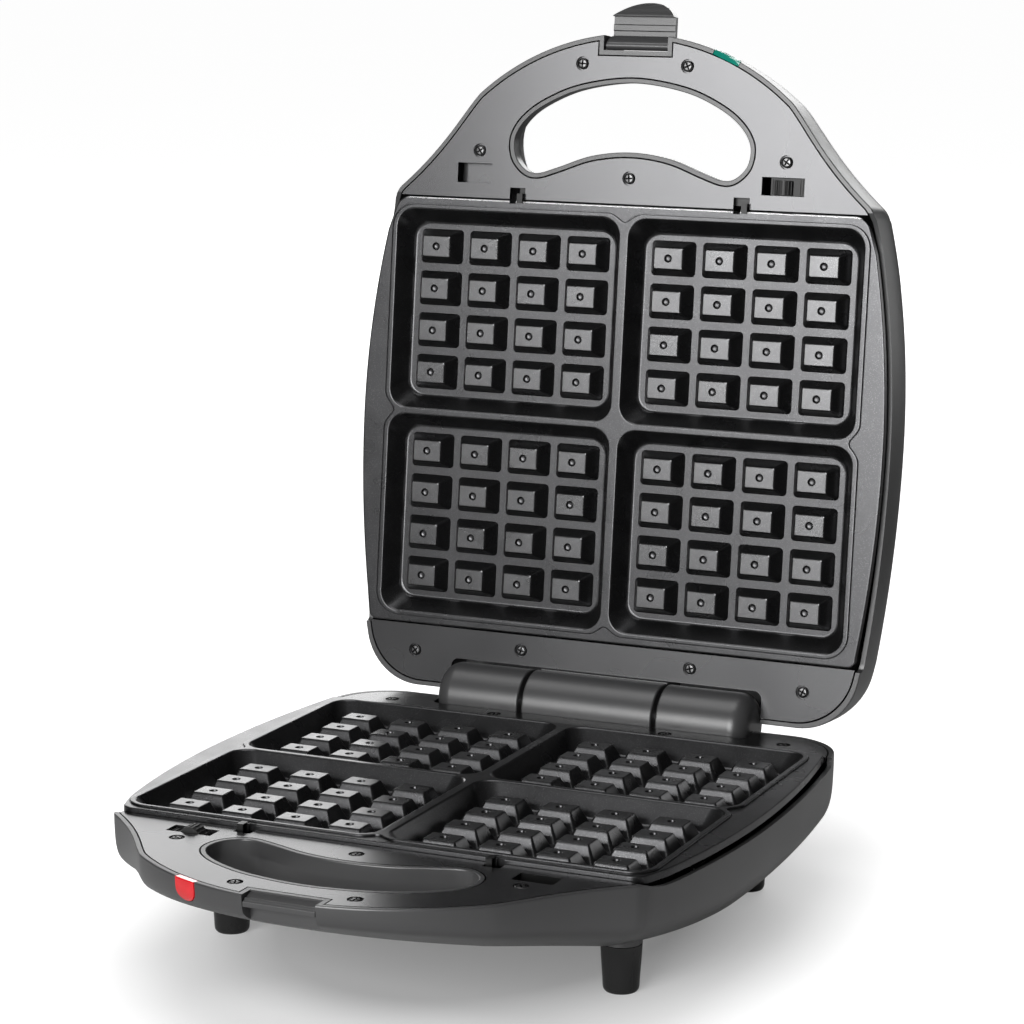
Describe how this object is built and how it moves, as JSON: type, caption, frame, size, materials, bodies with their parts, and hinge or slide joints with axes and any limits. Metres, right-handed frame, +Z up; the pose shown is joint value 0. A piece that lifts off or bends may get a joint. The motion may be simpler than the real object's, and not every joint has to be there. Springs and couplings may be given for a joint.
{
  "type": "waffle maker",
  "caption": "Electric waffle maker standing open: hinged lid, pegged cooking plates, hand openings in both halves and a front latch.",
  "frame": {"origin": "on the table under the middle of the whole part's bounding box, lid open", "axes": "+X to the right of a person facing the handle, the shortest extent; +Y from the handle to the hinge; +Z up"},
  "size_m": [0.2834, 0.414, 0.4168],
  "materials": {
    "satin_plastic": "satin dark grey moulding",
    "gloss_plastic": "glossy black moulding",
    "grey_trim": "metallic grey paint, satin",
    "non_stick": "cast, with a black non-stick coat",
    "steel": "plain",
    "bright_metal": "bright pressed sheet",
    "ceramic": "off-white heat-resistant moulding",
    "lamp_glass": "small neon tube",
    "red_lens": "clear red",
    "green_lens": "clear green"
  },
  "bodies": {
    "base": {"lower_casing": "satin_plastic", "lower_front_trim": "grey_trim", "lower_rear_trim": "grey_trim", "lower_plate": "non_stick", "lower_heating_element": "steel", "lower_reflector": "bright_metal", "lower_thermostat": "ceramic", "lower_front_screw_1": "steel", "lower_front_screw_2": "steel", "lower_front_screw_3": "steel", "lower_front_screw_4": "steel", "lower_front_screw_5": "steel", "lower_rear_screw_1": "steel", "lower_rear_screw_2": "steel", "lower_rear_screw_3": "steel", "lower_rear_screw_4": "steel", "hinge_knuckle_left": "satin_plastic", "hinge_knuckle_right": "satin_plastic", "hinge_pin": "steel", "catch_bar": "satin_plastic", "power_lens": "red_lens", "power_lamp": "lamp_glass", "thermal_fuse": "steel", "terminal_block": "ceramic", "cord_gland": "gloss_plastic", "foot_front_left": "gloss_plastic", "foot_front_right": "gloss_plastic", "foot_rear_left": "gloss_plastic", "foot_rear_right": "gloss_plastic"},
    "lid": {"upper_casing": "satin_plastic", "upper_front_trim": "grey_trim", "upper_rear_trim": "grey_trim", "upper_plate": "non_stick", "upper_heating_element": "steel", "upper_reflector": "bright_metal", "upper_thermostat": "ceramic", "upper_front_screw_1": "steel", "upper_front_screw_2": "steel", "upper_front_screw_3": "steel", "upper_front_screw_4": "steel", "upper_front_screw_5": "steel", "upper_rear_screw_1": "steel", "upper_rear_screw_2": "steel", "upper_rear_screw_3": "steel", "upper_rear_screw_4": "steel", "hinge_knuckle_centre": "satin_plastic", "latch_pin": "steel", "ready_lens": "green_lens", "ready_lamp": "lamp_glass"},
    "latch": {"latch": "satin_plastic"},
    "lower_release": {"lower_release_slider": "gloss_plastic", "lower_lock_bar": "steel"},
    "upper_release": {"upper_release_slider": "gloss_plastic", "upper_lock_bar": "steel"}
  },
  "joints": [
    {"name": "lid_hinge", "type": "hinge", "parent": "base", "child": "lid", "pos_m": [0, 0.12915, 0.0676], "axis": [1, 0, 0], "range_deg": [0, 96.2]},
    {"name": "latch_hinge", "type": "hinge", "parent": "lid", "child": "latch", "pos_m": [0, 0.17369, 0.39611], "axis": [1, 0, 0], "range_deg": [0, 97]},
    {"name": "lower_release", "type": "slide", "parent": "base", "child": "lower_release", "axis": [1, 0, 0], "range_m": [0, 0.004], "stiffness_N_per_m": 200},
    {"name": "upper_release", "type": "slide", "parent": "lid", "child": "upper_release", "axis": [-1, 0, 0], "range_m": [0, 0.004], "stiffness_N_per_m": 200}
  ]
}
